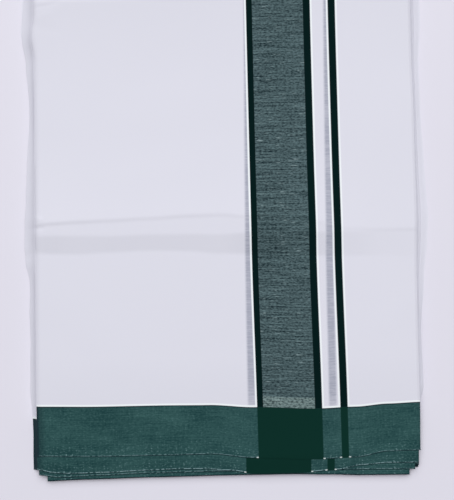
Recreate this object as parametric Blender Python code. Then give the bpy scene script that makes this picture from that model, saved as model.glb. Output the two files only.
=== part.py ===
"""A dhoti: one unstitched length of white cotton with woven borders, folded flat into a pack.

The cloth is 3.6 m long and 1.27 m wide. It is folded in half along its length, so that both
selvedges lie together at the near end of the pack (low Y) and the centre folds at its far end.
It is then fan-folded into ten panels, and the pack was once folded in three for the shelf,
which left two raised creases across it. Each panel is a pair of plies.

Every solid takes its places from one grid of points over the pack and from one thickness of
the hidden layers under each point, so the plies nest with an even gap and never cross.
"""

import math

import bmesh
import bpy
from mathutils import Vector

MM = 0.001

# The whole cloth, and the folds that turn it into the pack.
CLOTH_LENGTH = 3600 * MM
CLOTH_WIDTH = 1270 * MM
PANELS = 10
PANEL_WIDTH = CLOTH_LENGTH / PANELS
HALF_WIDTH = CLOTH_WIDTH / 2
CREASE_SPACING = HALF_WIDTH / 3

# Thickness of the cloth as built, and the air between two pieces.
WALL = 1.0 * MM
GAP = 0.3 * MM
LEVEL_STEP = WALL + GAP

# The hidden panels: thickness at mid panel, at the selvedges and at the centre folds.
HIDDEN_THICKNESS = 5.6 * MM
SELVEDGE_THICKNESS = 2.4 * MM
CENTRE_FOLD_EXTRA = 0.8 * MM
SELVEDGE_RAMP = 95 * MM
CENTRE_FOLD_RAMP = 80 * MM
EDGE_FALL = 1.3 * MM
EDGE_FALL_WIDTH = 26 * MM

# The two raised creases: steep on the outer side, long and gentle towards the middle third.
CREASE_HEIGHT = 4.0 * MM
CREASE_STEEP = 17 * MM
CREASE_TOP = 14 * MM
CREASE_GENTLE = 90 * MM
NEAR_FOOT_LEFT = CREASE_SPACING - 18 * MM
NEAR_FOOT_RIGHT = CREASE_SPACING - 29 * MM
FAR_FOOT_LEFT = 2 * CREASE_SPACING + 36 * MM
FAR_FOOT_RIGHT = 2 * CREASE_SPACING + 42 * MM

# How the woven edge wanders across a panel: drop is how far it hangs below a straight line.
SELVEDGE_WAVE = (
    {"x": 0 * MM, "drop": -0.5 * MM},
    {"x": 60 * MM, "drop": 0.5 * MM},
    {"x": 150 * MM, "drop": -1.0 * MM},
    {"x": 205 * MM, "drop": 3.8 * MM},
    {"x": 262 * MM, "drop": 6.2 * MM},
    {"x": 300 * MM, "drop": 4.0 * MM},
    {"x": 360 * MM, "drop": -2.0 * MM},
)

# Plies and panels that show, from the top down: each one's level over the hidden panels, and
# its edges in mm. Edges are measured inwards from the top ply's cut end (left), from the fold
# (right), from the selvedge line (near) and from the centre fold (far), so a minus sign is
# outwards. wave is the share of SELVEDGE_WAVE that the near edge takes.
TOP_PLY = {
    "name": "top_ply",
    "level": 3,
    "left": 0.0,
    "right": 2.0,
    "near": 0.0,
    "far": 1.0,
    "wave": 1.0,
}
SECOND_PLY = {
    "name": "second_ply",
    "level": 2,
    "left": 1.0,
    "right": 1.6,
    "near": -11.8,
    "far": 1.6,
    "wave": 1.0,
}
SECOND_PANEL = {
    "name": "second_panel",
    "level": 1,
    "left": 1.8,
    "right": 3.0,
    "near": -17.0,
    "far": 3.0,
    "wave": 0.2,
}
THIRD_PANEL = {
    "name": "third_panel",
    "level": 0,
    "left": 9.6,
    "right": 8.2,
    "near": -21.3,
    "far": 0.6,
    "wave": 0.1,
}

# The seven hidden panels as their layered edge shows them, from the floor up. low and high
# are shares of the hidden thickness, and the edges are measured as above.
HIDDEN_LAYERS = (
    {"low": 0.00, "high": 0.29, "left": 6.0, "right": 4.0, "near": -12.5, "far": 2.0},
    {"low": 0.31, "high": 0.52, "left": 2.6, "right": 7.5, "near": -16.0, "far": 0.0},
    {"low": 0.54, "high": 0.76, "left": 7.5, "right": 3.4, "near": -13.5, "far": 3.2},
    {"low": 0.78, "high": 1.00, "left": 4.0, "right": 5.5, "near": -15.5, "far": 1.2},
)
HIDDEN_WAVE = 0.1
LAYER_ROUND = 0.8 * MM

# Edge offsets fade out over this width, so that the grid inside is the same for every piece.
EDGE_ZONE = 55 * MM
RIM_ROUND = 0.3 * MM

# The top ply turns down round the fold at its right, and the second ply's end droops at left.
FOLD_RADIUS = 1.7 * MM
FOLD_STEPS = 3
FOLD_DROP = 2 * LEVEL_STEP + WALL / 2 - FOLD_RADIUS
DROOP_RADIUS = 6.0 * MM
DROOP_ANGLE = math.radians(58)
DROOP_STEPS = 4

# Grid lines over the pack: each row is a stretch and the number of steps in it.
X_STRETCHES = (
    {"to": 12 * MM, "steps": 2},
    {"to": 60 * MM, "steps": 2},
    {"to": 180 * MM, "steps": 3},
    {"to": 300 * MM, "steps": 4},
    {"to": 348 * MM, "steps": 2},
    {"to": PANEL_WIDTH, "steps": 2},
)
Y_STRETCHES = (
    {"to": 16 * MM, "steps": 2},
    {"to": 85 * MM, "steps": 3},
    {"to": 180 * MM, "steps": 2},
    {"to": 215 * MM, "steps": 6},
    {"to": 320 * MM, "steps": 5},
    {"to": 430 * MM, "steps": 5},
    {"to": 468 * MM, "steps": 6},
    {"to": 550 * MM, "steps": 2},
    {"to": 620 * MM, "steps": 3},
    {"to": HALF_WIDTH, "steps": 2},
)

# Edges that turn by more than this stay crisp in the shading.
SHARP_ANGLE = math.radians(40)

MATERIALS = {
    "bleached_cotton": {"color": (0.76, 0.76, 0.82, 1.0), "roughness": 0.85},
    "cotton_folds": {"color": (0.70, 0.70, 0.76, 1.0), "roughness": 0.88},
}


def smooth(t):
    """0 to 1 along an S-shaped ramp, flat beyond both ends."""
    t = min(max(t, 0.0), 1.0)
    return t * t * (3 - 2 * t)


def between(rows, x, value):
    """The named value at x, along smooth ramps between the rows of a table."""
    for low, high in zip(rows, rows[1:]):
        if x <= high["x"]:
            share = smooth((x - low["x"]) / (high["x"] - low["x"]))
            return low[value] + share * (high[value] - low[value])
    return rows[-1][value]


def grid_lines(stretches):
    """The grid lines of a table of stretches, starting at 0."""
    lines = [0.0]
    for stretch in stretches:
        start = lines[-1]
        for step in range(1, stretch["steps"] + 1):
            lines.append(start + (stretch["to"] - start) * step / stretch["steps"])
    return lines


def crease_rise(distance):
    """Height of a crease at a distance from its foot, measured towards the middle third."""
    rising = smooth(distance / CREASE_STEEP)
    falling = smooth((distance - CREASE_STEEP - CREASE_TOP) / CREASE_GENTLE)
    return CREASE_HEIGHT * rising * (1 - falling)


def hidden_height(x, y):
    """Thickness of the hidden panels, and so the height of their top, at a place on the pack."""
    across = min(max(x / PANEL_WIDTH, 0.0), 1.0)
    near_foot = NEAR_FOOT_LEFT + across * (NEAR_FOOT_RIGHT - NEAR_FOOT_LEFT)
    far_foot = FAR_FOOT_LEFT + across * (FAR_FOOT_RIGHT - FAR_FOOT_LEFT)
    selvedge = 1 - smooth((y - SECOND_PANEL["near"] * MM) / SELVEDGE_RAMP)
    centre = smooth((y - HALF_WIDTH + CENTRE_FOLD_RAMP) / CENTRE_FOLD_RAMP)
    inside = min(x, PANEL_WIDTH - x) / EDGE_FALL_WIDTH
    height = HIDDEN_THICKNESS - selvedge * (HIDDEN_THICKNESS - SELVEDGE_THICKNESS)
    height += centre * CENTRE_FOLD_EXTRA
    height += crease_rise(y - near_foot) + crease_rise(far_foot - y)
    return height - EDGE_FALL * (1 - smooth(inside)) * (1 - selvedge)


def place(x, y, edges, wave):
    """A grid point moved so that the outermost grid lines land on a piece's own edges."""
    to_left = max(0.0, 1 - x / EDGE_ZONE)
    to_right = max(0.0, 1 - (PANEL_WIDTH - x) / EDGE_ZONE)
    to_near = max(0.0, 1 - y / EDGE_ZONE)
    to_far = max(0.0, 1 - (HALF_WIDTH - y) / EDGE_ZONE)
    near = edges["near"] * MM - wave * between(SELVEDGE_WAVE, x, "drop")
    moved_x = x + edges["left"] * MM * to_left - edges["right"] * MM * to_right
    moved_y = y + near * to_near - edges["far"] * MM * to_far
    return moved_x, moved_y


def side_columns(piece):
    """Columns of a ply: grid line, sideways offset, drop and tilt of the wall beyond the grid."""
    columns = [{"x": x, "out": 0.0, "drop": 0.0, "tilt": 0.0} for x in grid_lines(X_STRETCHES)]
    if piece is TOP_PLY:
        for step in range(1, FOLD_STEPS + 1):
            angle = math.pi / 2 * step / FOLD_STEPS
            columns.append(
                {
                    "x": PANEL_WIDTH,
                    "out": FOLD_RADIUS * math.sin(angle),
                    "drop": FOLD_RADIUS * (1 - math.cos(angle)),
                    "tilt": angle,
                }
            )
        columns.append(
            {
                "x": PANEL_WIDTH,
                "out": FOLD_RADIUS,
                "drop": FOLD_RADIUS + FOLD_DROP,
                "tilt": math.pi / 2,
            }
        )
    if piece is SECOND_PLY:
        for step in range(1, DROOP_STEPS + 1):
            angle = DROOP_ANGLE * step / DROOP_STEPS
            columns.insert(
                0,
                {
                    "x": 0.0,
                    "out": -DROOP_RADIUS * math.sin(angle),
                    "drop": DROOP_RADIUS * (1 - math.cos(angle)),
                    "tilt": -angle,
                },
            )
    return columns


def cloth_material(name):
    """A plain cloth finish."""
    material = bpy.data.materials.new(name)
    material.use_nodes = True
    shader = material.node_tree.nodes["Principled BSDF"]
    shader.inputs["Base Color"].default_value = MATERIALS[name]["color"]
    shader.inputs["Roughness"].default_value = MATERIALS[name]["roughness"]
    shader.inputs["Metallic"].default_value = 0.0
    return material


def add_object(name, bm, material):
    """One closed body from a bmesh, its faces turned outwards and shaded smooth over the folds."""
    bmesh.ops.recalc_face_normals(bm, faces=bm.faces)
    mesh = bpy.data.meshes.new(name)
    bm.to_mesh(mesh)
    bm.free()
    mesh.materials.append(material)
    mesh.shade_smooth()
    mesh.set_sharp_from_angle(angle=SHARP_ANGLE)
    piece = bpy.data.objects.new(name, mesh)
    bpy.context.scene.collection.objects.link(piece)
    return piece


def bridge(bm, first, second):
    """Closes the strip between two rings with the same number of points."""
    for a in range(len(first)):
        b = (a + 1) % len(first)
        bm.faces.new((first[a], first[b], second[b], second[a]))


def edge_pairs(columns, rows):
    """Column and row numbers of the points round the edge of a grid, in order."""
    pairs = [(i, 0) for i in range(columns)]
    pairs += [(columns - 1, j) for j in range(1, rows)]
    pairs += [(i, rows - 1) for i in range(columns - 2, -1, -1)]
    pairs += [(0, j) for j in range(rows - 2, 0, -1)]
    return pairs


def fill_grid(bm, points):
    """Faces over a grid of points, columns first."""
    for left, right in zip(points, points[1:]):
        for j in range(len(left) - 1):
            bm.faces.new((left[j], right[j], right[j + 1], left[j + 1]))


def ply(piece, material):
    """A wall of cloth that follows the top of the hidden panels, a whole number of levels up."""
    columns = side_columns(piece)
    rows = grid_lines(Y_STRETCHES)
    middle = piece["level"] * LEVEL_STEP + GAP + WALL / 2
    bm = bmesh.new()
    upper, lower = [], []
    for column in columns:
        across = Vector((math.sin(column["tilt"]), 0, math.cos(column["tilt"]))) * WALL / 2
        above, below = [], []
        for y in rows:
            place_x, place_y = place(column["x"], y, piece, piece["wave"])
            height = hidden_height(place_x, place_y) + middle - column["drop"]
            centre = Vector((place_x + column["out"], place_y, height))
            above.append(bm.verts.new(centre + across))
            below.append(bm.verts.new(centre - across))
        upper.append(above)
        lower.append(below)
    fill_grid(bm, upper)
    fill_grid(bm, lower)
    pairs = edge_pairs(len(columns), len(rows))
    top_ring = [upper[i][j] for i, j in pairs]
    low_ring = [lower[i][j] for i, j in pairs]
    rim = rounded_rim(bm, pairs, columns, len(rows) - 1, top_ring, low_ring)
    bridge(bm, top_ring, rim)
    bridge(bm, rim, low_ring)
    return add_object(piece["name"], bm, material)


def rounded_rim(bm, pairs, columns, last_row, top_ring, low_ring):
    """Points half way down the edge of a ply, moved out a little to round it."""
    rim = []
    for (i, j), high, low in zip(pairs, top_ring, low_ring):
        out = Vector((0, 0, 0))
        if i in (0, len(columns) - 1):
            tilt = columns[i]["tilt"]
            side = 1 if i else -1
            out += Vector((side * math.cos(tilt), 0, -side * math.sin(tilt)))
        if j in (0, last_row):
            out += Vector((0, 1 if j else -1, 0))
        rim.append(bm.verts.new((high.co + low.co) / 2 + out.normalized() * RIM_ROUND))
    return rim


def outline_ring(bm, layer, share, inset):
    """One ring of the hidden panels: a layer's outline at a share of the height under it."""
    columns = grid_lines(X_STRETCHES)
    rows = grid_lines(Y_STRETCHES)
    ring = []
    for i, j in edge_pairs(len(columns), len(rows)):
        x, y = place(columns[i], rows[j], layer, HIDDEN_WAVE)
        height = share * hidden_height(x, y)
        if i in (0, len(columns) - 1):
            x += -inset if i else inset
        if j in (0, len(rows) - 1):
            y += -inset if j else inset
        ring.append(bm.verts.new((x, y, height)))
    return ring


def hidden_panels(material):
    """The inner panels as one solid, with a rounded edge for each pair that shows at the sides."""
    columns = grid_lines(X_STRETCHES)
    rows = grid_lines(Y_STRETCHES)
    bm = bmesh.new()
    rings = []
    for layer in HIDDEN_LAYERS:
        middle = (layer["low"] + layer["high"]) / 2
        rings.append(outline_ring(bm, layer, layer["low"], LAYER_ROUND))
        rings.append(outline_ring(bm, layer, middle, 0.0))
        rings.append(outline_ring(bm, layer, layer["high"], LAYER_ROUND))
    for first, second in zip(rings, rings[1:]):
        bridge(bm, first, second)
    pairs = edge_pairs(len(columns), len(rows))
    top_edge = dict(zip(pairs, rings[-1]))
    top = []
    for i, x in enumerate(columns):
        line = []
        for j, y in enumerate(rows):
            if (i, j) in top_edge:
                line.append(top_edge[(i, j)])
            else:
                place_x, place_y = place(x, y, HIDDEN_LAYERS[-1], HIDDEN_WAVE)
                height = hidden_height(place_x, place_y)
                line.append(bm.verts.new((place_x, place_y, height)))
        top.append(line)
    fill_grid(bm, top)
    floor_edge = dict(zip(pairs, rings[0]))
    every_column = range(len(columns))
    end_columns = (0, len(columns) - 1)
    for j in range(len(rows) - 1):
        near = every_column if j == 0 else end_columns
        far = every_column if j == len(rows) - 2 else end_columns
        strip = [floor_edge[(i, j)] for i in near]
        strip += [floor_edge[(i, j + 1)] for i in reversed(far)]
        bm.faces.new(strip)
    return add_object("hidden_panels", bm, material)


def centre_on_origin(pieces):
    """Moves the pack so that the middle of its footprint is at the origin."""
    corners = [vertex.co for piece in pieces for vertex in piece.data.vertices]
    middle_x = (min(c.x for c in corners) + max(c.x for c in corners)) / 2
    middle_y = (min(c.y for c in corners) + max(c.y for c in corners)) / 2
    for piece in pieces:
        piece.location = (-middle_x, -middle_y, 0)


def main():
    for thing in list(bpy.data.objects):
        bpy.data.objects.remove(thing)
    cotton = cloth_material("bleached_cotton")
    folds = cloth_material("cotton_folds")
    pieces = [hidden_panels(folds)]
    pieces += [ply(piece, folds) for piece in (THIRD_PANEL, SECOND_PANEL)]
    pieces += [ply(piece, cotton) for piece in (SECOND_PLY, TOP_PLY)]
    centre_on_origin(pieces)


main()
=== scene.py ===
"""A white cotton dhoti with green woven borders, folded into a flat pack.

The pack lies with its selvedges towards -Y and its centre folds towards +Y. Twenty plies of thin
cotton lie on each other: two in each of ten panels, which are fanned to and fro.
"""

import math

import bmesh
import bpy
from mathutils import Euler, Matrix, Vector, noise


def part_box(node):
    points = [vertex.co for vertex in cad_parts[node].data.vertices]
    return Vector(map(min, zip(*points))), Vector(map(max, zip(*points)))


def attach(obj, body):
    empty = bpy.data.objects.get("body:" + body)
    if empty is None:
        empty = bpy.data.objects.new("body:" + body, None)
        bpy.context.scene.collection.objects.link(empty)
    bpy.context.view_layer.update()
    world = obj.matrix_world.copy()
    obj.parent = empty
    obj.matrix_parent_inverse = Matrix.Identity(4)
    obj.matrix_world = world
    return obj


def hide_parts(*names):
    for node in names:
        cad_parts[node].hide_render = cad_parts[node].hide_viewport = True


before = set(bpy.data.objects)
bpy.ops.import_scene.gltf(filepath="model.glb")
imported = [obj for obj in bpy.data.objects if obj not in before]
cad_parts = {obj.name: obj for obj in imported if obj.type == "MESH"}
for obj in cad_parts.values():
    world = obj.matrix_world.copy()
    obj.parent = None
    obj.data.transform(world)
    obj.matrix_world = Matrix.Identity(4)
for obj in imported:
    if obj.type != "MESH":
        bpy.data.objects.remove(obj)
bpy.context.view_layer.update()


# ---------------------------------------------------------------------------
# Top ply. The first 360 mm of the cloth, plain-woven bleached cotton with a green border along
# its selvedge, a streaked green band and a narrow stripe. It lies uppermost, from the cut end at
# the left to the fold at the right, where it turns down round the plies that it encloses.
# ---------------------------------------------------------------------------

MM = 0.001


def rows_in_mm(columns, *rows):
    """A table with named columns, whose rows are given in millimetres."""
    return tuple(dict(zip(columns.split(), [value * MM for value in row])) for row in rows)


# A ply's level counts the plies from the floor up to its upper face.
THICKNESS = 0.3 * MM
PLIES = 20
TOP_LEVEL = 20

# The pack's own measure: x runs from the cut end, y from the selvedge. The solid stands out past
# the cloth's edges by its rounding, and its centre fold starts a little short of the half width.
top_low, top_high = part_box("top_ply")
SOLID_ROUND = 0.3 * MM
FAR_INSET = 1.0 * MM
HALF_WIDTH = 635 * MM
PANEL_WIDTH = 360 * MM
ORIGIN_X = top_low.x + SOLID_ROUND
ORIGIN_Y = top_high.y - SOLID_ROUND + FAR_INSET - HALF_WIDTH
RIGHT_REACH = top_high.x - ORIGIN_X

# Height of the pack: even in the middle, thinner at the selvedges and more so where they
# overhang, a little fuller at the centre folds, and lower towards both sides. At the very edge
# it loses a further share, more at the cut end than at the fold. Slow swells run all over it.
CREASE_IN_SOLID = 4.0 * MM
FLAT_HEIGHT = top_high.z - CREASE_IN_SOLID
SELVEDGE_HEIGHT = 7.4 * MM
OVERHANG_HEIGHT = 5.2 * MM
SELVEDGE_START = -5 * MM
SELVEDGE_RAMP = 95 * MM
OVERHANG_RAMP = 22 * MM
CENTRE_FOLD_EXTRA = 0.8 * MM
CENTRE_FOLD_RAMP = 80 * MM
SIDE_FALL = 0.8 * MM
SIDE_FALL_WIDTH = 26 * MM
CUT_ROUND = 0.23
CUT_ROUND_WIDTH = 5.2 * MM
FOLD_ROUND = 0.17
FOLD_ROUND_WIDTH = 3.2 * MM
SWELL = 0.28 * MM
SWELL_LENGTH = 95 * MM

# The cloth wanders off square: how far its selvedge, and the inner edge of its border, hang
# below a straight line.
TOP_WAVE = rows_in_mm(
    "x edge inner",
    (0, -0.5, -0.4),
    (60, 0.5, 0.5),
    (115, 0.2, 0.3),
    (162, -0.2, 0.7),
    (205, 4.0, 3.6),
    (262, 6.2, 6.0),
    (300, 4.8, 4.7),
    (330, -0.3, 2.2),
    (360, -0.7, 1.1),
)
WAVE_FADE = 300 * MM

# The two shelf creases. Each climbs evenly from a foot to a top towards the middle third, runs
# level to a pressed line, steps up there, and sinks slowly beyond it.
NEAR_CREASE = rows_in_mm(
    "x foot top line rise step",
    (0, 191.5, 207.0, 217.5, 2.9, 0.75),
    (18, 190.2, 207.4, 218.8, 3.3, 0.85),
    (41, 189.6, 206.8, 219.9, 2.8, 0.75),
    (70, 190.8, 206.2, 220.8, 2.6, 0.65),
    (107, 192.0, 207.0, 222.3, 2.5, 0.55),
    (145, 191.0, 207.0, 224.1, 2.6, 0.60),
    (173, 188.3, 206.0, 224.8, 2.7, 0.50),
    (206, 187.2, 207.5, 222.5, 4.0, 0.35),
    (262, 184.8, 207.0, 217.0, 4.3, 0.25),
    (297, 184.3, 206.5, 210.0, 2.2, 0.15),
    (330, 184.3, 206.5, 208.2, 1.1, 0.35),
    (360, 182.5, 206.0, 208.2, 0.9, 0.50),
)
FAR_CREASE = rows_in_mm(
    "x foot top line rise step",
    (0, 459.5, 443.5, 432.0, 3.5, 0.50),
    (90, 461.5, 444.0, 433.0, 3.3, 0.55),
    (210, 460.5, 443.0, 436.0, 3.0, 0.40),
    (290, 464.0, 446.0, 433.0, 2.4, 0.30),
    (360, 465.5, 447.0, 434.0, 2.7, 0.50),
)
CREASE_SOFT = 1.6 * MM
CREASE_GENTLE = 85 * MM
STEP_WIDTH = 5 * MM

# How far the sides stand out: the folds at the right most in the middle third, and the cut end at
# the left in one short wave beside the far crease.
SIDE_BULGE = rows_in_mm(
    "y left right",
    (0, 0.0, -0.4),
    (45, 0.0, 0.2),
    (110, 0.0, 0.0),
    (160, 0.0, 0.3),
    (225, 0.0, 1.6),
    (325, 0.0, 1.4),
    (376, 0.3, 0.6),
    (399, 3.0, 0.5),
    (420, 0.6, 0.5),
    (640, 0.0, 0.3),
)
LEFT_BULGE_WIDTH = 14 * MM
RIGHT_BULGE_WIDTH = 70 * MM

# Soft troughs (depth over 0) and ridges (under 0) from end to end, all in mm on the pack. They
# fade out within a few widths of their line.
WRINKLE_REACH = 3
WRINKLES = (
    {"from": (176, 9.5), "to": (209, 5.5), "width": 2.0, "depth": 0.16},
    {"from": (300, 38), "to": (352, 45), "width": 2.4, "depth": 0.10},
    {"from": (8, 12), "to": (95, 10), "width": 2.0, "depth": 0.07},
    {"from": (2, 426), "to": (24, 430), "width": 1.8, "depth": 0.26},
    {"from": (3, 416), "to": (16, 420), "width": 2.6, "depth": -0.18},
    {"from": (4, 408), "to": (22, 404), "width": 3.5, "depth": 0.14},
    {"from": (60, 330), "to": (150, 372), "width": 26, "depth": 0.22},
    {"from": (92, 262), "to": (176, 283), "width": 20, "depth": -0.20},
    {"from": (330, 120), "to": (352, 138), "width": 11, "depth": -0.14},
    {"from": (318, 285), "to": (356, 330), "width": 22, "depth": -0.20},
    {"from": (120, 92), "to": (196, 104), "width": 16, "depth": 0.10},
    {"from": (1.5, 224), "to": (5, 223), "width": 2.4, "depth": -0.35},
    {"from": (0, 214.5), "to": (7, 214.5), "width": 2.2, "depth": 0.30},
    {"from": (20, 118), "to": (64, 70), "width": 15, "depth": 0.14},
    {"from": (40, 516), "to": (150, 530), "width": 14, "depth": 0.16},
    {"from": (210, 508), "to": (332, 488), "width": 18, "depth": -0.20},
    {"from": (250, 590), "to": (345, 571), "width": 9, "depth": 0.15},
    {"from": (14, 604), "to": (96, 590), "width": 7, "depth": 0.14},
)

PLY_PITCH = FLAT_HEIGHT / PLIES

# A fold turns a ply over some plies below it, in steps round half a circle. It stands out by its
# reach for each of them. A ply that comes back under itself turns over fewer.
FOLD_STEPS = 6
FOLD_REACH = 0.3 * MM
TOP_FOLD_PLIES = 3
BACK_FOLD_SHARE = 1 / 3

# Cloth bends smoothly up to this angle between its faces, and is cut crisp beyond it.
CRISP_ANGLE = math.radians(50)

# Grid lines of the ply: each row is a stretch and the number of steps in it.
TOP_ACROSS = (
    {"to": 5 * MM, "steps": 5},
    {"to": 20 * MM, "steps": 8},
    {"to": 340 * MM, "steps": 116},
    {"to": 352 * MM, "steps": 6},
    {"to": RIGHT_REACH - TOP_FOLD_PLIES * FOLD_REACH, "steps": 12},
)
TOP_ALONG = (
    {"to": 12 * MM, "steps": 8},
    {"to": 178 * MM, "steps": 60},
    {"to": 236 * MM, "steps": 52},
    {"to": 420 * MM, "steps": 60},
    {"to": 470 * MM, "steps": 34},
    {"to": 615 * MM, "steps": 38},
    {"to": HALF_WIDTH - FAR_INSET, "steps": 9},
)

# The end bands, measured along the cloth, and how far off square the weave lies on the pack: a
# skew all along, and a bend towards the selvedge.
TOP_BANDS = (
    {"from": 206.1 * MM, "to": 211.7 * MM, "weave": "stripe"},
    {"from": 211.7 * MM, "to": 260.3 * MM, "weave": "band"},
    {"from": 260.3 * MM, "to": 267.0 * MM, "weave": "stripe"},
    {"from": 284.2 * MM, "to": 290.9 * MM, "weave": "stripe"},
)
SECOND_BANDS = (
    {"from": 196.8 * MM, "to": 202.5 * MM, "weave": "stripe"},
    {"from": 202.5 * MM, "to": 251.1 * MM, "weave": "band"},
    {"from": 251.1 * MM, "to": 257.9 * MM, "weave": "stripe"},
    {"from": 272.9 * MM, "to": 279.9 * MM, "weave": "stripe"},
)
TOP_SKEW = 0.0063
SECOND_SKEW = -0.0105
TOP_BEND = 1.8 * MM
SECOND_BEND = -0.6 * MM
BEND_LENGTH = 200 * MM

# Woven zones from the selvedge inwards. Their edges are as sharp as a thread, and those of the
# ply below are blurred by the cloth over it. Real threads lie 0.35 mm apart, too fine to show at
# arm's length, so the weave is drawn at a little over twice that.
# The first width is a dark strip of painted shade along the selvedge, for the shade that falls
# under each ply's edge.
SELVEDGE_SHADE = 0.5 * MM
SELVEDGE_CORD = 1.15 * MM
BORDER_EDGE = 0.9 * MM
BORDER_WIDTH = 46.8 * MM
CRAMMED_WIDTH = 10 * MM
EDGE_LINE = 1.8 * MM
EDGE_SOFT = 0.22 * MM
SHOW_THROUGH_SOFT = 1.1 * MM
CUT_END = 0.4 * MM
THREAD_PITCH = 0.8 * MM
THREAD_RELIEF = 0.08 * MM
BANDS_START = 190 * MM
BANDS_END = 300 * MM

# Uneven yarn, as the length and width of its patches: streaks of thick warp threads, grain where
# thick and thin threads cross, slubs, bars of thick weft, and slow drifts of the dye. Real ones
# are a thread or two wide, 0.35 to 0.7 mm, so streaks, grain, slubs and bars are drawn coarser.
YARN_PATTERNS = {
    "streak": (40 * MM, 1.4 * MM),
    "grain": (2.5 * MM, 1.3 * MM),
    "slub": (11 * MM, 1.4 * MM),
    "bar": (1.4 * MM, 11 * MM),
    "drift": (55 * MM, 24 * MM),
}

# Bleached and dark green yarns, and what the eye makes of them where they mix in a weave.
COLOURS = {
    "field": "#dfdfea",
    "crammed white": "#f3f8fb",
    "show-through": "#a7aab9",
    "stripe": "#021a1a",
    "green band yarn": "#18292e",
    "white band yarn": "#5f7579",
    "crammed band": "#a3b9b4",
    "slub": "#8fa3a6",
    "green border yarn": "#1a3d3f",
    "white border yarn": "#3b5f5e",
    "crossing": "#0a2f28",
    # Dark tones for the border's inner edge threads, and for painted shade along the selvedge, at
    # the cut end and over its droop.
    "border edge": "#16282f",
    "cut end": "#1e3239",
    "selvedge": "#84a4a8",
    "knot": "#c3d0d0",
}


def smooth(t):
    """0 to 1 along an S-shaped ramp, flat beyond both ends."""
    t = min(max(t, 0.0), 1.0)
    return t * t * (3 - 2 * t)


def between(rows, place, value, along="x"):
    """The named value at a place, along smooth ramps between the rows of a table."""
    for low, high in zip(rows, rows[1:]):
        if place <= high[along]:
            share = smooth((place - low[along]) / (high[along] - low[along]))
            return low[value] + share * (high[value] - low[value])
    return rows[-1][value]


def side_bulge(x, y):
    """How far a place is shifted where the sides stand out."""
    shift = smooth(1 - (PANEL_WIDTH - x) / RIGHT_BULGE_WIDTH) * between(SIDE_BULGE, y, "right", "y")
    return shift - smooth(1 - x / LEFT_BULGE_WIDTH) * between(SIDE_BULGE, y, "left", "y")


def grid_lines(stretches, start=0.0):
    """The grid lines of a table of stretches."""
    lines = [start]
    for stretch in stretches:
        first = lines[-1]
        for step in range(1, stretch["steps"] + 1):
            lines.append(first + (stretch["to"] - first) * step / stretch["steps"])
    return lines


def bend(distance, softness):
    """Height past a bend from level into a slope of one, rounded off to both sides."""
    if abs(distance) >= softness:
        return max(distance, 0.0)
    return (distance + softness) ** 2 / (4 * softness)


def crease_height(rows, x, y, direction):
    """Height of a crease at a place, where direction points from its foot to the middle third."""
    foot, top, line, rise, step = (
        between(rows, x, key) for key in ("foot", "top", "line", "rise", "step")
    )
    width = abs(top - foot)
    past_foot = direction * (y - foot)
    past_line = direction * (y - line)
    climb = bend(past_foot, CREASE_SOFT) - bend(past_foot - width, CREASE_SOFT)
    height = rise * climb / width + step * smooth(past_line / STEP_WIDTH + 0.5)
    return height * (1 - min(max(past_line / CREASE_GENTLE, 0.0), 1.0)) ** 2


def wrinkle_depth(x, y):
    """How far the wrinkles press the cloth down at a place on the pack."""
    depth = 0.0
    for wrinkle in WRINKLES:
        start = Vector(wrinkle["from"]) * MM
        run = Vector(wrinkle["to"]) * MM - start
        offset = Vector((x, y)) - start
        share = min(max(offset.dot(run) / run.length_squared, 0.0), 1.0)
        away = (offset - share * run).length / (wrinkle["width"] * MM)
        if away < WRINKLE_REACH:
            depth += wrinkle["depth"] * MM * math.exp(-(away**2))
    return depth


def pack_height(x, y):
    """Height of the whole pack at a place, to the upper face of its top ply."""
    x = min(max(x, 0.0), PANEL_WIDTH)
    inside = min(x, PANEL_WIDTH - x)
    selvedge = 1 - smooth((y - SELVEDGE_START) / SELVEDGE_RAMP)
    height = FLAT_HEIGHT - selvedge * (FLAT_HEIGHT - SELVEDGE_HEIGHT)
    height -= (SELVEDGE_HEIGHT - OVERHANG_HEIGHT) * smooth(-y / OVERHANG_RAMP)
    height += CENTRE_FOLD_EXTRA * smooth(1 - (HALF_WIDTH - y) / CENTRE_FOLD_RAMP)
    height -= SIDE_FALL * (1 - smooth(inside / SIDE_FALL_WIDTH)) * (1 - selvedge)
    height += crease_height(NEAR_CREASE, x, y, 1) + crease_height(FAR_CREASE, x, y, -1)
    swell = noise.noise(Vector((x, y, 0.0)) / SWELL_LENGTH)
    height += SWELL * swell * (1 - selvedge) - wrinkle_depth(x, y)
    height *= 1 - CUT_ROUND * (1 - min(x / CUT_ROUND_WIDTH, 1.0)) ** 2
    height *= 1 - FOLD_ROUND * (1 - min((PANEL_WIDTH - x) / FOLD_ROUND_WIDTH, 1.0)) ** 2
    return height


def curl(radius, angle, tail=0.0, tail_angle=0.0):
    """Points of an end of cloth that curls down round a radius, and of a tail that eases out."""
    steps = range(1, FOLD_STEPS + 1)
    links = [(radius * angle / FOLD_STEPS, angle * step / FOLD_STEPS) for step in steps]
    if tail:
        ease = (tail_angle - angle) / FOLD_STEPS
        links += [(tail / FOLD_STEPS, angle + ease * step) for step in steps]
    point = {"out": 0.0, "down": 0.0, "tilt": 0.0, "run": 0.0}
    points = []
    for length, tilt in links:
        middle = (point["tilt"] + tilt) / 2
        point = {
            "out": point["out"] + length * math.cos(middle),
            "down": point["down"] + length * math.sin(middle),
            "tilt": tilt,
            "run": point["run"] + length,
        }
        points.append(point)
    return points


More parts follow.
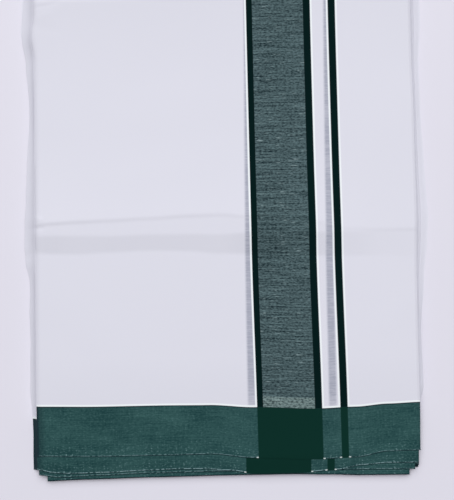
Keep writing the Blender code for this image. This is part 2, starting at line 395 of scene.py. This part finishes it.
def columns_across(lines, left_plies=0, right_plies=0, left_curl=()):
    """Columns of a ply: flat, folded down over some plies at either side, or curled at the left."""
    columns = [{"x": x, "out": 0.0, "down": 0.0, "tilt": 0.0, "u": x} for x in lines]
    for plies, side, edge in ((left_plies, -1, lines[0]), (right_plies, 1, lines[-1])):
        for step in range(1, FOLD_STEPS + 1 if plies else 0):
            angle = math.pi * step / FOLD_STEPS
            column = {
                "x": edge,
                "out": side * plies * FOLD_REACH * math.sin(angle),
                "down": plies / 2 * (1 - math.cos(angle)),
                "tilt": side * angle,
                "u": edge + side * plies * FOLD_REACH * angle,
            }
            columns.insert(len(columns) if side > 0 else 0, column)
    for point in left_curl:
        column = {"x": lines[0], "out": -point["out"], "down": point["down"] / PLY_PITCH}
        columns.insert(0, {**column, "tilt": -point["tilt"], "u": lines[0] - point["run"]})
    return columns


def rows_along(lines, centre_fold=True, back_to=None, near_curl=()):
    """Rows of a ply from its selvedge, flat or curled down, over its centre fold, and back."""
    flat = {"out": 0.0, "down": 0.0, "tilt": 0.0, "inner": 1.0}
    start = lines[0] - (near_curl[-1]["run"] if near_curl else 0.0)
    rows = []
    for point in reversed(near_curl):
        row = {"y": lines[0], "out": -point["out"], "down": point["down"] / PLY_PITCH}
        rows.append({**row, "tilt": -point["tilt"], "inner": 1.0, "v": lines[0] - point["run"]})
    rows += [{"y": y, "v": y, **flat} for y in lines]
    for row in rows:
        row["v"] -= start
    last = rows[-1]
    for step in range(1, FOLD_STEPS + 1 if centre_fold else 0):
        angle = math.pi * step / FOLD_STEPS
        row = dict(last, out=FOLD_REACH * math.sin(angle), tilt=angle)
        row["down"] = (1 - math.cos(angle)) / 2
        rows.append(row)
    if back_to is not None:
        turned = {"out": 0.0, "down": 1.0, "tilt": math.pi, "inner": BACK_FOLD_SHARE}
        for y in [y for y in reversed(lines[:-1]) if y > back_to] + [back_to]:
            rows.append({"y": y, "v": y - back_to, **turned})
    return rows


def add_piece(name, bm, material):
    """An object from a bmesh, shaded smooth but for the cloth's own edges."""
    bmesh.ops.recalc_face_normals(bm, faces=bm.faces)
    mesh = bpy.data.meshes.new(name)
    bm.to_mesh(mesh)
    bm.free()
    mesh.materials.append(material)
    mesh.shade_smooth()
    mesh.set_sharp_from_angle(angle=CRISP_ANGLE)
    piece = bpy.data.objects.new(name, mesh)
    bpy.context.scene.collection.objects.link(piece)
    return piece


def edge_pairs(columns, rows):
    """Column and row numbers of the points round the edge of a grid, in order."""
    pairs = [(i, 0) for i in range(columns - 1)]
    pairs += [(columns - 1, j) for j in range(rows - 1)]
    pairs += [(i, rows - 1) for i in range(columns - 1, 0, -1)]
    pairs += [(0, j) for j in range(rows - 1, 0, -1)]
    return pairs


def add_ply(name, level, columns, rows, wave, skew, weave_bend, material, spread=None):
    """A closed wall of cloth that lies a number of plies up the pack.

    The wave shifts it towards the near end, the skew and the bend shift the weave on it, and
    the spread is how far its left curl stands out at each place, as a multiple.
    """
    bm = bmesh.new()
    cloth_map = bm.loops.layers.uv.new("cloth")
    upper, lower, cloth_place = [], [], {}
    for column in columns:
        upper.append([])
        lower.append([])
        edge_drop = between(wave, column["x"], "edge")
        inner_drop = between(wave, column["x"], "inner")
        for row in rows:
            drop = inner_drop + (edge_drop - inner_drop) * (1 - smooth(row["v"] / BORDER_WIDTH))
            y = row["y"] - drop * (1 - smooth(row["v"] / WAVE_FADE))
            out = column["out"] * row["inner"]
            if spread and out < 0:
                out *= spread(y)
            x = column["x"] + out + side_bulge(column["x"], y)
            plies_up = level - column["down"] * row["inner"] - row["down"]
            height = pack_height(column["x"], y) * plies_up / PLIES - THICKNESS / 2
            centre = Vector((ORIGIN_X + x, ORIGIN_Y + y + row["out"], height))
            side, end = column["tilt"], row["tilt"]
            facing = Vector(
                (math.sin(side) * math.cos(end), math.sin(end), math.cos(side) * math.cos(end))
            )
            upper[-1].append(bm.verts.new(centre + facing * THICKNESS / 2))
            lower[-1].append(bm.verts.new(centre - facing * THICKNESS / 2))
            off_line = weave_bend * (1 - smooth(row["v"] / BEND_LENGTH))
            place = (column["u"] + skew * row["y"] - off_line, row["v"])
            cloth_place[upper[-1][-1]] = cloth_place[lower[-1][-1]] = place
    for face in (upper, lower):
        for i in range(len(columns) - 1):
            for j in range(len(rows) - 1):
                bm.faces.new((face[i][j], face[i + 1][j], face[i + 1][j + 1], face[i][j + 1]))
    edge = edge_pairs(len(columns), len(rows))
    for (i, j), (k, m) in zip(edge, edge[1:] + edge[:1]):
        bm.faces.new((upper[i][j], lower[i][j], lower[k][m], upper[k][m]))
    for face in bm.faces:
        for loop in face.loops:
            loop[cloth_map].uv = cloth_place[loop.vert]
    return add_piece(name, bm, material)


def linear(colour):
    """A linear colour from an sRGB hex value."""
    shares = [int(colour[i : i + 2], 16) / 255 for i in (1, 3, 5)]
    return [s / 12.92 if s <= 0.04045 else ((s + 0.055) / 1.055) ** 2.4 for s in shares] + [1.0]


def add(tree, kind, inputs=None, **settings):
    """A node with its settings, and a value, or a link from a node or socket, for each input."""
    node = tree.nodes.new(kind)
    for setting, value in settings.items():
        setattr(node, setting, value)
    for socket, value in (inputs or {}).items():
        if isinstance(value, bpy.types.Node):
            value = value.outputs[0]
        if isinstance(value, bpy.types.NodeSocket):
            tree.links.new(value, node.inputs[socket])
        else:
            node.inputs[socket].default_value = value
    return node


def weave_edges(bands, plain, line, codes):
    """Edges along the cloth, each with the code beyond it: the bands, and a line beside them."""
    edges = [(BANDS_START, plain)]
    for row, before, after in zip(bands, ({"to": None},) + bands, bands[1:] + ({"from": None},)):
        if before["to"] != row["from"]:
            edges.append((row["from"] - EDGE_LINE, line))
        edges.append((row["from"], codes[row["weave"]]))
        if after["from"] != row["to"]:
            edges.append((row["to"], line))
            edges.append((row["to"] + EDGE_LINE, plain))
    return edges


def woven_cotton(
    name, bands=(), skew=0.0, bands_below=(), skew_below=0.0, cord=1.0, edge=SELVEDGE_SHADE
):
    """Plain-woven bleached cotton: matt and faintly hairy, with a dyed border and end bands.

    The border has green warp on a white weft, the bands green weft on a white warp, and both
    cross in solid green. Uneven yarn draws streaks along the cloth where the colours mix. Bands
    of the ply below show grey through the white, least where the warp is crammed. The cord is
    how much of the selvedge's white cord shows, and the edge how wide a dark strip of painted
    shade runs along the selvedge. The border is painted darker at the cut end too, as shade
    where the end rounds down and droops.
    """
    material = bpy.data.materials.new(name)
    material.use_nodes = True
    tree = material.node_tree
    tree.nodes.clear()
    cloth = add(tree, "ShaderNodeUVMap", uv_map="cloth")
    u, v, _ = add(tree, "ShaderNodeSeparateXYZ", {"Vector": cloth}).outputs
    shifted = {0: v, 1: skew_below - skew, 2: u}
    u_below = add(tree, "ShaderNodeMath", shifted, operation="MULTIPLY_ADD")

    # Which weave lies where: red for a stripe or the border, green for a band or the crammed
    # warp, blue for the bright line of close white threads beside them. Red and blue together
    # are the border's darkest threads at its inner edge, and a strip of painted shade along the
    # selvedge, for the shade under each ply's edge.
    clear, red, green, blue = (0, 0, 0, 1), (1, 0, 0, 1), (0, 1, 0, 1), (0, 0, 1, 1)
    red_and_blue, green_and_blue = (1, 0, 1, 1), (0, 1, 1, 1)
    along = weave_edges(bands, clear, blue, {"stripe": red, "band": green})
    underneath = [(BANDS_START, clear)]
    if bands_below:
        # The wide band with its two stripes, and the narrow stripe beyond it.
        underneath += [(bands_below[0]["from"], red), (bands_below[2]["to"], clear)]
        underneath += [(bands_below[3]["from"], red), (bands_below[3]["to"], clear)]
    across = [
        (0.0, red_and_blue),
        (edge, red),
        (BORDER_WIDTH - BORDER_EDGE, red_and_blue),
        (BORDER_WIDTH, green_and_blue),
        (BORDER_WIDTH + EDGE_LINE, green),
        (BORDER_WIDTH + CRAMMED_WIDTH, clear),
    ]
    zones = []
    for measure, edges, end, soft in (
        (u, along, BANDS_END, EDGE_SOFT),
        (u_below, underneath, BANDS_END, SHOW_THROUGH_SOFT),
        (v, across, BORDER_WIDTH + 2 * CRAMMED_WIDTH, EDGE_SOFT),
    ):
        start = edges[0][0]
        limits = {"Value": measure, "From Min": start, "From Max": end}
        ramp = add(tree, "ShaderNodeValToRGB", {"Fac": add(tree, "ShaderNodeMapRange", limits)})
        stops = ramp.color_ramp.elements
        stops.remove(stops[1])
        stops[0].color = edges[0][1]
        for (_, code_before), (place, code) in zip(edges, edges[1:]):
            stops.new((place - soft - start) / (end - start)).color = code_before
            stops.new((place + soft - start) / (end - start)).color = code
        zones.append(add(tree, "ShaderNodeSeparateColor", {0: ramp}).outputs)
    stripe, band, side_line = zones[0]
    below = zones[1][0]
    border, crammed, top_line = zones[2]
    in_colour = add(tree, "ShaderNodeMath", {0: stripe, 1: band}, operation="ADD")
    lines = add(tree, "ShaderNodeMath", {0: side_line, 1: top_line}, operation="MAXIMUM")
    in_cord = {0: v, 1: SELVEDGE_CORD}
    at_selvedge = add(tree, "ShaderNodeMath", in_cord, operation="LESS_THAN")
    at_cut = add(tree, "ShaderNodeMath", {0: u, 1: CUT_END}, operation="LESS_THAN")

    # Uneven yarn, each pattern even over its patches and softly blotched within them, and
    # mixtures of two patterns.
    yarn = {}
    for pattern, (long, wide) in YARN_PATTERNS.items():
        scale = (1 / long, 1 / wide, 1)
        spot = add(tree, "ShaderNodeMapping", {"Vector": cloth, "Scale": scale})
        shape = {"Vector": spot, "Scale": 1.0, "Detail": 3.0, "Roughness": 0.6}
        yarn[pattern] = add(tree, "ShaderNodeTexNoise", shape)
    for mixture, first, second, share in (
        ("band", "streak", "grain", 0.55),
        ("slow", "drift", "streak", 0.45),
        ("cross", "bar", "grain", 0.7),
        ("border", "slow", "cross", 0.46),
    ):
        parts = {"Factor": share, "A": yarn[first], "B": yarn[second]}
        yarn[mixture] = add(tree, "ShaderNodeMix", parts)

    # Shares that grow from the least to the most while a pattern, or a place on the cloth, passes
    # from low to high: white yarn in the band and the border, slubs, specks of white weft worn
    # bare near the selvedge, the pale warp of a crammed band, painted shade that darkens the
    # border towards the cut end, the selvedge's broken cord, the mottle in the painted shade over
    # the cut end, and the stripes that show through.
    shares = {}
    for use, pattern, low, high, least, most in (
        ("band", yarn["band"], 0.39, 0.61, 0.0, 1.0),
        ("border", yarn["border"], 0.40, 0.60, 0.0, 1.0),
        ("slub", yarn["slub"], 0.62, 0.70, 0.0, 0.8),
        ("speck", yarn["cross"], 0.57, 0.67, 0.0, 0.7),
        ("worn", v, 1 * MM, 14 * MM, 1.0, 0.15),
        ("crammed grain", yarn["grain"], 0.38, 0.62, 0.05, 0.45),
        ("cut end shade", u, 0.0, 8 * MM, 0.5, 0.0),
        ("cord", yarn["grain"], 0.44, 0.52, 0.0, cord),
        ("cut end mottle", yarn["grain"], 0.35, 0.6, 1.0, 0.8),
        ("show-through", yarn["slub"], 0.36, 0.64, 0.76, 1.12),
        ("show-through drift", yarn["drift"], 0.35, 0.55, 0.86, 1.0),
        ("thin", v, BORDER_WIDTH, BORDER_WIDTH + 1.5 * CRAMMED_WIDTH, 0.55, 1.0),
    ):
        limits = {"Value": pattern, "From Min": low, "From Max": high}
        limits.update({"To Min": least, "To Max": most})
        shares[use] = add(tree, "ShaderNodeMapRange", limits)

    # Where each of them applies, as a product of shares.
    for use, share, *factors in (
        (
            "show-through",
            below,
            shares["show-through"],
            shares["show-through drift"],
            shares["thin"],
        ),
        ("crammed band", crammed, shares["crammed grain"]),
        ("border slub", shares["speck"], shares["worn"]),
        # Painted shade: the border darkens towards the cut end, where the cloth rounds down.
        ("cut end shade", border, shares["cut end shade"]),
        ("selvedge", at_selvedge, shares["cord"]),
        # The border's dark inner edge threads, and painted shade along the selvedge.
        ("border edge", border, top_line),
        # Painted shade: the cut end tone covers the last 0.4 mm of the border and the whole
        # drooping end of the second ply.
        ("cut end", border, at_cut, shares["cut end mottle"]),
        ("crossing", border, in_colour),
        ("knot", at_selvedge, side_line),
    ):
        for factor in factors:
            share = add(tree, "ShaderNodeMath", {0: share, 1: factor}, operation="MULTIPLY")
        shares[use] = share

    # Colours laid over each other, from the ground up.
    tones = {tone: linear(colour) for tone, colour in COLOURS.items()}
    for whole, ground, *layers in (
        (
            "band",
            "green band yarn",
            (shares["band"], "white band yarn"),
            (shares["slub"], "slub"),
            (shares["crammed band"], "crammed band"),
        ),
        (
            "border",
            "green border yarn",
            (shares["border"], "white border yarn"),
            (shares["border slub"], "selvedge"),
        ),
        (
            "cloth",
            "field",
            (shares["show-through"], "show-through"),
            (lines, "crammed white"),
            (in_colour, "band"),
            (stripe, "stripe"),
            (border, "border"),
            # The border edge and cut end tones below are painted shade at the cut end, along the
            # selvedge and over the droop, apart from the border's inner edge threads.
            (shares["cut end shade"], "border edge"),
            (shares["selvedge"], "selvedge"),
            (shares["border edge"], "border edge"),
            (shares["cut end"], "cut end"),
            (shares["crossing"], "crossing"),
            (shares["knot"], "knot"),
        ),
    ):
        colour = tones[ground]
        for share, tone in layers:
            inputs = {0: share, 6: colour, 7: tones[tone]}
            colour = add(tree, "ShaderNodeMix", inputs, data_type="RGBA").outputs[2]
        tones[whole] = colour

    # The threads' own relief: a wave of scale 1 has 10 / pi bands to the metre.
    ripples = [
        add(
            tree,
            "ShaderNodeTexWave",
            {"Vector": cloth, "Scale": math.pi / 10 / THREAD_PITCH},
            bands_direction=axis,
        )
        for axis in "XY"
    ]
    weave = add(tree, "ShaderNodeMix", {"Factor": 0.4, "A": ripples[0], "B": ripples[1]})
    relief = add(tree, "ShaderNodeMix", {"Factor": 0.4, "A": weave, "B": yarn["slub"]})
    bumps = {"Height": relief, "Strength": 0.35, "Distance": THREAD_RELIEF}

    # Cotton hardly shines: its hairs leave a trace of sheen, and its threads scatter the rest.
    surface = add(
        tree,
        "ShaderNodeBsdfPrincipled",
        {
            "Base Color": tones["cloth"],
            "Roughness": 0.88,
            "IOR": 1.5,
            "Specular IOR Level": 0.05,
            "Sheen Weight": 0.02,
            "Sheen Roughness": 0.5,
            "Normal": add(tree, "ShaderNodeBump", bumps),
        },
    )
    add(tree, "ShaderNodeOutputMaterial", {"Surface": surface})
    return material


top_cotton = woven_cotton(
    "bleached cotton, top ply", TOP_BANDS, TOP_SKEW, SECOND_BANDS, SECOND_SKEW, cord=0.45
)
top_ply = add_ply(
    "top_ply_cloth",
    TOP_LEVEL,
    columns_across(grid_lines(TOP_ACROSS), right_plies=TOP_FOLD_PLIES),
    rows_along(grid_lines(TOP_ALONG)),
    TOP_WAVE,
    TOP_SKEW,
    TOP_BEND,
    top_cotton,
)
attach(top_ply, "root")
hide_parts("top_ply")


# ---------------------------------------------------------------------------
# Second ply. The other half of the same panel of cotton, under the top ply and one with it at the
# centre fold. Its selvedge steps out below the top one's, and its cut end juts out at the left
# and droops.
# ---------------------------------------------------------------------------

# Its level, where its selvedge lies, and how far short of the half width and of the panel's
# width it ends.
SECOND_LEVEL = 19
SECOND_NEAR = -11.8 * MM
SECOND_FAR = 1.4 * MM
SECOND_RIGHT = 1.8 * MM

# The droop: a tight curl down to an angle, and a tail that eases out of it towards the table.
DROOP_START = 0.2 * MM
DROOP_RADIUS = 0.9 * MM
DROOP_ANGLE = math.radians(61)
DROOP_TAIL = 13.0 * MM
DROOP_TAIL_ANGLE = math.radians(28)

# How far the droop stands out along the cut end, as a multiple: most beside the creases. A slow
# ripple keeps it uneven.
DROOP_SPREAD = (
    {"y": 0 * MM, "by": 0.44},
    {"y": 34 * MM, "by": 0.44},
    {"y": 61 * MM, "by": 0.66},
    {"y": 109 * MM, "by": 0.66},
    {"y": 165 * MM, "by": 0.70},
    {"y": 186 * MM, "by": 1.05},
    {"y": 199 * MM, "by": 1.19},
    {"y": 222 * MM, "by": 1.10},
    {"y": 241 * MM, "by": 1.00},
    {"y": 269 * MM, "by": 0.90},
    {"y": 326 * MM, "by": 0.60},
    {"y": 373 * MM, "by": 0.85},
    {"y": 395 * MM, "by": 1.05},
    {"y": 416 * MM, "by": 1.12},
    {"y": 440 * MM, "by": 1.05},
    {"y": 470 * MM, "by": 1.00},
    {"y": 520 * MM, "by": 0.85},
    {"y": 635 * MM, "by": 0.75},
)
DROOP_RIPPLE = 0.12
DROOP_RIPPLE_LENGTH = 24 * MM

SECOND_WAVE = rows_in_mm(
    "x edge inner",
    (0, 0.3, -0.4),
    (16, 3.4, 0.0),
    (30, 4.5, 0.3),
    (60, 4.1, 0.5),
    (107, 2.6, 0.3),
    (130, 1.8, 0.4),
    (155, 2.0, 0.6),
    (180, 3.8, 2.0),
    (206, 7.2, 3.9),
    (245, 7.0, 5.5),
    (282, 4.8, 5.0),
    (304, 0.8, 4.0),
    (330, -0.9, 2.2),
    (360, -0.8, 1.0),
)

# Grid lines of the ply, coarser than the top one's where it is covered.
SECOND_COARSENESS = 0.7
SECOND_ACROSS = (
    {"to": 20 * MM, "steps": 6},
    {"to": 340 * MM, "steps": 60},
    {"to": PANEL_WIDTH - SECOND_RIGHT, "steps": 8},
)
SECOND_ALONG = ({"to": 0.0, "steps": 10},) + tuple(
    {
        "to": min(stretch["to"], HALF_WIDTH - SECOND_FAR),
        "steps": math.ceil(stretch["steps"] * SECOND_COARSENESS),
    }
    for stretch in TOP_ALONG
)


def droop_spread(y):
    """How far the droop stands out at a place along the cut end, as a multiple."""
    ripple = noise.noise(Vector((0.0, y, 0.0)) / DROOP_RIPPLE_LENGTH)
    return between(DROOP_SPREAD, y, "by", "y") * (1 + DROOP_RIPPLE * ripple)


# Over the border the droop takes the cloth's painted shade for the cut end.
droop = curl(DROOP_RADIUS, DROOP_ANGLE, DROOP_TAIL, DROOP_TAIL_ANGLE)
second_ply = add_ply(
    "second_ply_cloth",
    SECOND_LEVEL,
    columns_across(grid_lines(SECOND_ACROSS, DROOP_START), right_plies=1, left_curl=droop),
    rows_along(grid_lines(SECOND_ALONG, SECOND_NEAR), centre_fold=False),
    SECOND_WAVE,
    SECOND_SKEW,
    SECOND_BEND,
    woven_cotton("bleached cotton, second ply", SECOND_BANDS, SECOND_SKEW),
    droop_spread,
)
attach(second_ply, "root")
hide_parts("second_ply")


# ---------------------------------------------------------------------------
# Second and third panels. Each is the same cloth folded double at its centre: the upper ply's
# selvedge shows as a strip of border below the plies above it, and the lower ply comes back
# under it. Both plies turn down at the sides, where the fan folds are.
# ---------------------------------------------------------------------------

inner_cotton = woven_cotton("bleached cotton, second panel", cord=0.55)
# The lower panels' selvedges get a wider strip of painted shade and less white cord, as shade on
# their lowest edges, which curl down.
lower_cotton = woven_cotton("bleached cotton, lower panels", cord=0.25, edge=1.3 * MM)

# The third panel's near edge curls down to the table.
THIRD_CURL_RADIUS = 1.4 * MM
THIRD_CURL_ANGLE = math.radians(74)

# How far in each panel's sides and selvedges lie, in mm, and its centre fold's start short of the
# half width: the near selvedge is the upper ply's and the back one the lower ply's. Then the
# plies that its side folds turn down over, and the curl of its near edge.
LOWER_PANELS = (
    {
        "name": "second_panel_cloth",
        "node": "second_panel",
        "level": 18,
        "left": 2.7,
        "right": 5.0,
        "near": -17.0,
        "far": 2.6,
        "back": -6.0,
        "left_plies": 3,
        "right_plies": 0,
        "curl": (),
        "cotton": inner_cotton,
        "wave": rows_in_mm(
            "x edge inner",
            (0, 0.0, 0),
            (22, 2.6, 0),
            (60, 1.2, 0),
            (107, -0.3, 0),
            (168, -0.7, 0),
            (289, -0.5, 0),
            (360, 0.0, 0),
        ),
    },
    {
        "name": "third_panel_cloth",
        "node": "third_panel",
        "level": 16,
        "left": 9.9,
        "right": 10.6,
        "near": -20.8,
        "far": 1.0,
        "back": -9.5,
        "left_plies": 1,
        "right_plies": 1,
        "curl": curl(THIRD_CURL_RADIUS, THIRD_CURL_ANGLE),
        "cotton": lower_cotton,
        "wave": rows_in_mm(
            "x edge inner",
            (0, 0.8, 0),
            (50, -0.4, 0),
            (110, -1.4, 0),
            (180, -2.1, 0),
            (240, -2.2, 0),
            (275, -1.3, 0),
            (307, -0.2, 0),
            (360, 0.0, 0),
        ),
    },
)
for panel in LOWER_PANELS:
    # Grid lines, closest at the selvedge and the creases.
    across = (
        {"to": 340 * MM, "steps": 44},
        {"to": PANEL_WIDTH - panel["right"] * MM, "steps": 4},
    )
    along = (
        {"to": 12 * MM, "steps": 14},
        {"to": 178 * MM, "steps": 24},
        {"to": 236 * MM, "steps": 30},
        {"to": 420 * MM, "steps": 26},
        {"to": 470 * MM, "steps": 22},
        {"to": HALF_WIDTH - panel["far"] * MM, "steps": 22},
    )
    cloth = add_ply(
        panel["name"],
        panel["level"],
        columns_across(
            grid_lines(across, panel["left"] * MM), panel["left_plies"], panel["right_plies"]
        ),
        rows_along(
            grid_lines(along, panel["near"] * MM),
            back_to=panel["back"] * MM,
            near_curl=panel["curl"],
        ),
        panel["wave"],
        0.0,
        0.0,
        panel["cotton"],
    )
    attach(cloth, "root")
    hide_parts(panel["node"])


# ---------------------------------------------------------------------------
# Hidden panels. The other seven panels of the cotton fan, fourteen plies that lie on the table.
# Only their edges show: single selvedges at the near end, centre folds at the far end, and
# rounded fan folds four plies thick at both sides, held down by the panels above.
# ---------------------------------------------------------------------------

HIDDEN_PLIES = 14
HIDDEN_ACROSS = ({"to": PANEL_WIDTH, "steps": 60},)
HIDDEN_ALONG = (
    {"to": 178 * MM, "steps": 30},
    {"to": 236 * MM, "steps": 24},
    {"to": 420 * MM, "steps": 26},
    {"to": 470 * MM, "steps": 20},
    {"to": HALF_WIDTH, "steps": 24},
)

# The shifts of the edges fade out over this width.
HIDDEN_EDGE_ZONE = 55 * MM

# Folds at the sides from the floor up: the plies that each one holds and how far in it lies.
LEFT_FOLDS = (
    {"from": 0, "to": 2, "in": 3.0},
    {"from": 2, "to": 6, "in": 2.6},
    {"from": 6, "to": 10, "in": 5.0},
    {"from": 10, "to": 14, "in": 4.6},
)
RIGHT_FOLDS = (
    {"from": 0, "to": 4, "in": 0.8},
    {"from": 4, "to": 8, "in": 1.2},
    {"from": 8, "to": 12, "in": 0.9},
    {"from": 12, "to": 14, "in": 1.4},
)

# How far the folds spread out under the top panel's edges, most where the creases press them:
# the lowest ply the whole way, and those above it less and less.
FLARE = rows_in_mm(
    "y left right",
    (0, 0.0, -0.6),
    (36, 0.5, -0.2),
    (61, 3.0, 7.5),
    (109, 4.0, 6.5),
    (165, 5.0, 10.5),
    (199, 7.0, 13.5),
    (222, 8.5, 14.5),
    (241, 7.5, 13.5),
    (269, 6.0, 12.0),
    (326, 5.0, 10.0),
    (373, 6.5, 10.5),
    (408, 15.5, 13.0),
    (432, 16.0, 13.0),
    (480, 7.0, 9.0),
    (590, 4.5, 6.5),
    (640, 2.0, 3.0),
)
FLARE_AT_TOP = 0.05
FLARE_CURVE = 0.52

# How far in the selvedges and the centre folds lie, in mm, and how far they scatter about that:
# a wave that takes a large part of a turn from one to the next leaves no order to be seen.
UPPER_SELVEDGE = -4.0
LOWER_SELVEDGE = -13.8
SELVEDGE_SCATTER = 1.9
SELVEDGE_TURN = 2.1
CENTRE_FOLD_IN = 1.8
CENTRE_FOLD_SCATTER = 1.4
CENTRE_FOLD_TURN = 1.7
CENTRE_FOLD_PHASE = 0.6

# Heights of the rings of points round each ply, as shares of it, and how deep a fold's edge is
# rounded off for each ply that it holds.
RING_SHARES = (0.04, 0.2, 0.5, 0.8, 0.96)
ROUNDING = 0.26 * MM


def fold_inset(plies_up, low, high, inset):
    """How far in the edge of a fold lies at a height in plies: half round, deepest at its ends."""
    off_middle = min(abs(2 * (plies_up - low) / (high - low) - 1), 1.0)
    return inset * MM + ROUNDING * (high - low) * (1 - math.sqrt(1 - off_middle**2))


def hidden_insets(plies_up):
    """Insets of the four sides at a height in plies."""
    ply = min(int(plies_up), HIDDEN_PLIES - 1)
    sides = {}
    for side, folds in (("left", LEFT_FOLDS), ("right", RIGHT_FOLDS)):
        fold = next(row for row in folds if plies_up <= row["to"])
        sides[side] = fold_inset(plies_up, fold["from"], fold["to"], fold["in"])
    # The fan turns the doubled cloth over at each fold, so that its under half comes second and
    # third of every four plies.
    selvedge = LOWER_SELVEDGE if ply % 4 in (1, 2) else UPPER_SELVEDGE
    selvedge += SELVEDGE_SCATTER * math.sin(SELVEDGE_TURN * ply)
    sides["near"] = fold_inset(plies_up, ply, ply + 1, selvedge)
    panel = ply // 2
    scatter = math.sin(CENTRE_FOLD_TURN * panel + CENTRE_FOLD_PHASE)
    centre_fold = CENTRE_FOLD_IN + CENTRE_FOLD_SCATTER * scatter
    sides["far"] = fold_inset(plies_up, 2 * panel, 2 * panel + 2, centre_fold)
    return sides


# A ring of points round the stack at each height, drawn in or flared out near its edges.
hidden_columns = grid_lines(HIDDEN_ACROSS)
hidden_rows = grid_lines(HIDDEN_ALONG)
hidden_edge = edge_pairs(len(hidden_columns), len(hidden_rows))
bm = bmesh.new()
cloth_map = bm.loops.layers.uv.new("cloth")
cloth_place = {}
rings = []
ring_heights = [0.0] + [ply + share for ply in range(HIDDEN_PLIES) for share in RING_SHARES]
for plies_up in ring_heights:
    insets = hidden_insets(plies_up)
    ring = []
    for i, j in hidden_edge:
        x, y = hidden_columns[i], hidden_rows[j]
        share = 1 - (1 - FLARE_AT_TOP) * (plies_up / HIDDEN_PLIES) ** FLARE_CURVE
        left_in = insets["left"] - share * between(FLARE, y, "left", along="y")
        right_in = insets["right"] - share * between(FLARE, y, "right", along="y")
        x += left_in * max(0.0, 1 - x / HIDDEN_EDGE_ZONE)
        x -= right_in * max(0.0, 1 - (PANEL_WIDTH - x) / HIDDEN_EDGE_ZONE)
        y += insets["near"] * max(0.0, 1 - y / HIDDEN_EDGE_ZONE)
        y -= insets["far"] * max(0.0, 1 - (HALF_WIDTH - y) / HIDDEN_EDGE_ZONE)
        height = pack_height(x, y) * plies_up / PLIES
        x += side_bulge(x, y)
        vert = bm.verts.new((ORIGIN_X + x, ORIGIN_Y + y, height))
        cloth_place[vert] = (x + height, y - LOWER_SELVEDGE * MM)
        ring.append(vert)
    rings.append(ring)
for first, second in zip(rings, rings[1:]):
    for a in range(len(first)):
        b = (a + 1) % len(first)
        bm.faces.new((first[a], first[b], second[b], second[a]))

# The flat faces below and above, as strips from side to side.
sides_only = (0, len(hidden_columns) - 1)
for ring in (rings[0], rings[-1]):
    point = dict(zip(hidden_edge, ring))
    for j in range(len(hidden_rows) - 1):
        near = range(len(hidden_columns)) if j == 0 else sides_only
        far = range(len(hidden_columns)) if j == len(hidden_rows) - 2 else sides_only
        bm.faces.new([point[(i, j)] for i in near] + [point[(i, j + 1)] for i in reversed(far)])
for face in bm.faces:
    for loop in face.loops:
        loop[cloth_map].uv = cloth_place[loop.vert]
hidden_panels = add_piece("hidden_panels_cloth", bm, lower_cotton)
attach(hidden_panels, "root")
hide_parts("hidden_panels")


# ---------------------------------------------------------------------------
# Table. A large smooth board, painted matt in a pale colour with a faint lavender cast. The pack
# lies loose on it.
# ---------------------------------------------------------------------------

# In metres: so large that its edge is never seen.
TABLE_SIZE = 30.0
TABLE_COLOUR = "#e2e0eb"

bpy.ops.mesh.primitive_plane_add(size=TABLE_SIZE)
table = bpy.context.object
table.name = "table"

# Matt paint: an even pale ground that takes soft shadows and hardly shines.
paint = bpy.data.materials.new("matt painted board")
paint.use_nodes = True
board = paint.node_tree.nodes["Principled BSDF"]
board.inputs["Base Color"].default_value = linear(TABLE_COLOUR)
board.inputs["Roughness"].default_value = 0.9
board.inputs["Specular IOR Level"].default_value = 0.2
table.data.materials.append(paint)


# ---------------------------------------------------------------------------
# Light. A broad soft lamp hangs beyond the far end of the pack and faces it. The pale room gives
# even light from all round.
# ---------------------------------------------------------------------------

# Sizes and places in metres, power in watts.
LAMP_WIDTH = 8.0
LAMP_DEPTH = 9.0
LAMP_PLACE = (0.0, 2.6, 5.0)
LAMP_POWER = 522
ROOM_COLOUR = "#f4f4fa"
ROOM_STRENGTH = 0.15

lamp_data = bpy.data.lights.new("soft lamp", "AREA")
lamp_data.shape = "RECTANGLE"
lamp_data.size = LAMP_WIDTH
lamp_data.size_y = LAMP_DEPTH
lamp_data.energy = LAMP_POWER
lamp = bpy.data.objects.new("soft lamp", lamp_data)
lamp.location = LAMP_PLACE
lamp.rotation_euler = (-Vector(LAMP_PLACE)).to_track_quat("-Z", "Y").to_euler()
bpy.context.scene.collection.objects.link(lamp)

world = bpy.data.worlds.new("room")
world.use_nodes = True
room = world.node_tree.nodes["Background"]
room.inputs["Color"].default_value = linear(ROOM_COLOUR)
room.inputs["Strength"].default_value = ROOM_STRENGTH
bpy.context.scene.world = world


# ---------------------------------------------------------------------------
# Camera. It looks down on the pack from a metre up, leaning a little from the near end and
# turned about a degree off square.
# ---------------------------------------------------------------------------

# The middle of the view on the pack, its distance in metres, and its width on the longer side.
VIEW_CENTRE = (181.5 * MM, 191.4 * MM)
VIEW_DISTANCE = 1.0
VIEW_FIELD = 472 * MM
VIEW_LEAN = math.radians(3.3)
VIEW_TURN = math.radians(-0.96)

camera_data = bpy.data.cameras.new("camera")
camera_data.lens = camera_data.sensor_width / 2 / (VIEW_FIELD / 2 / VIEW_DISTANCE)
camera = bpy.data.objects.new("camera", camera_data)
camera.rotation_euler = Euler((VIEW_LEAN, 0, VIEW_TURN), "XYZ")
aim = Vector((ORIGIN_X + VIEW_CENTRE[0], ORIGIN_Y + VIEW_CENTRE[1], FLAT_HEIGHT))
back = camera.rotation_euler.to_matrix() @ Vector((0, 0, 1))
camera.location = aim + back * VIEW_DISTANCE
bpy.context.scene.collection.objects.link(camera)
bpy.context.scene.camera = camera
bpy.context.scene.view_settings.view_transform = "Standard"
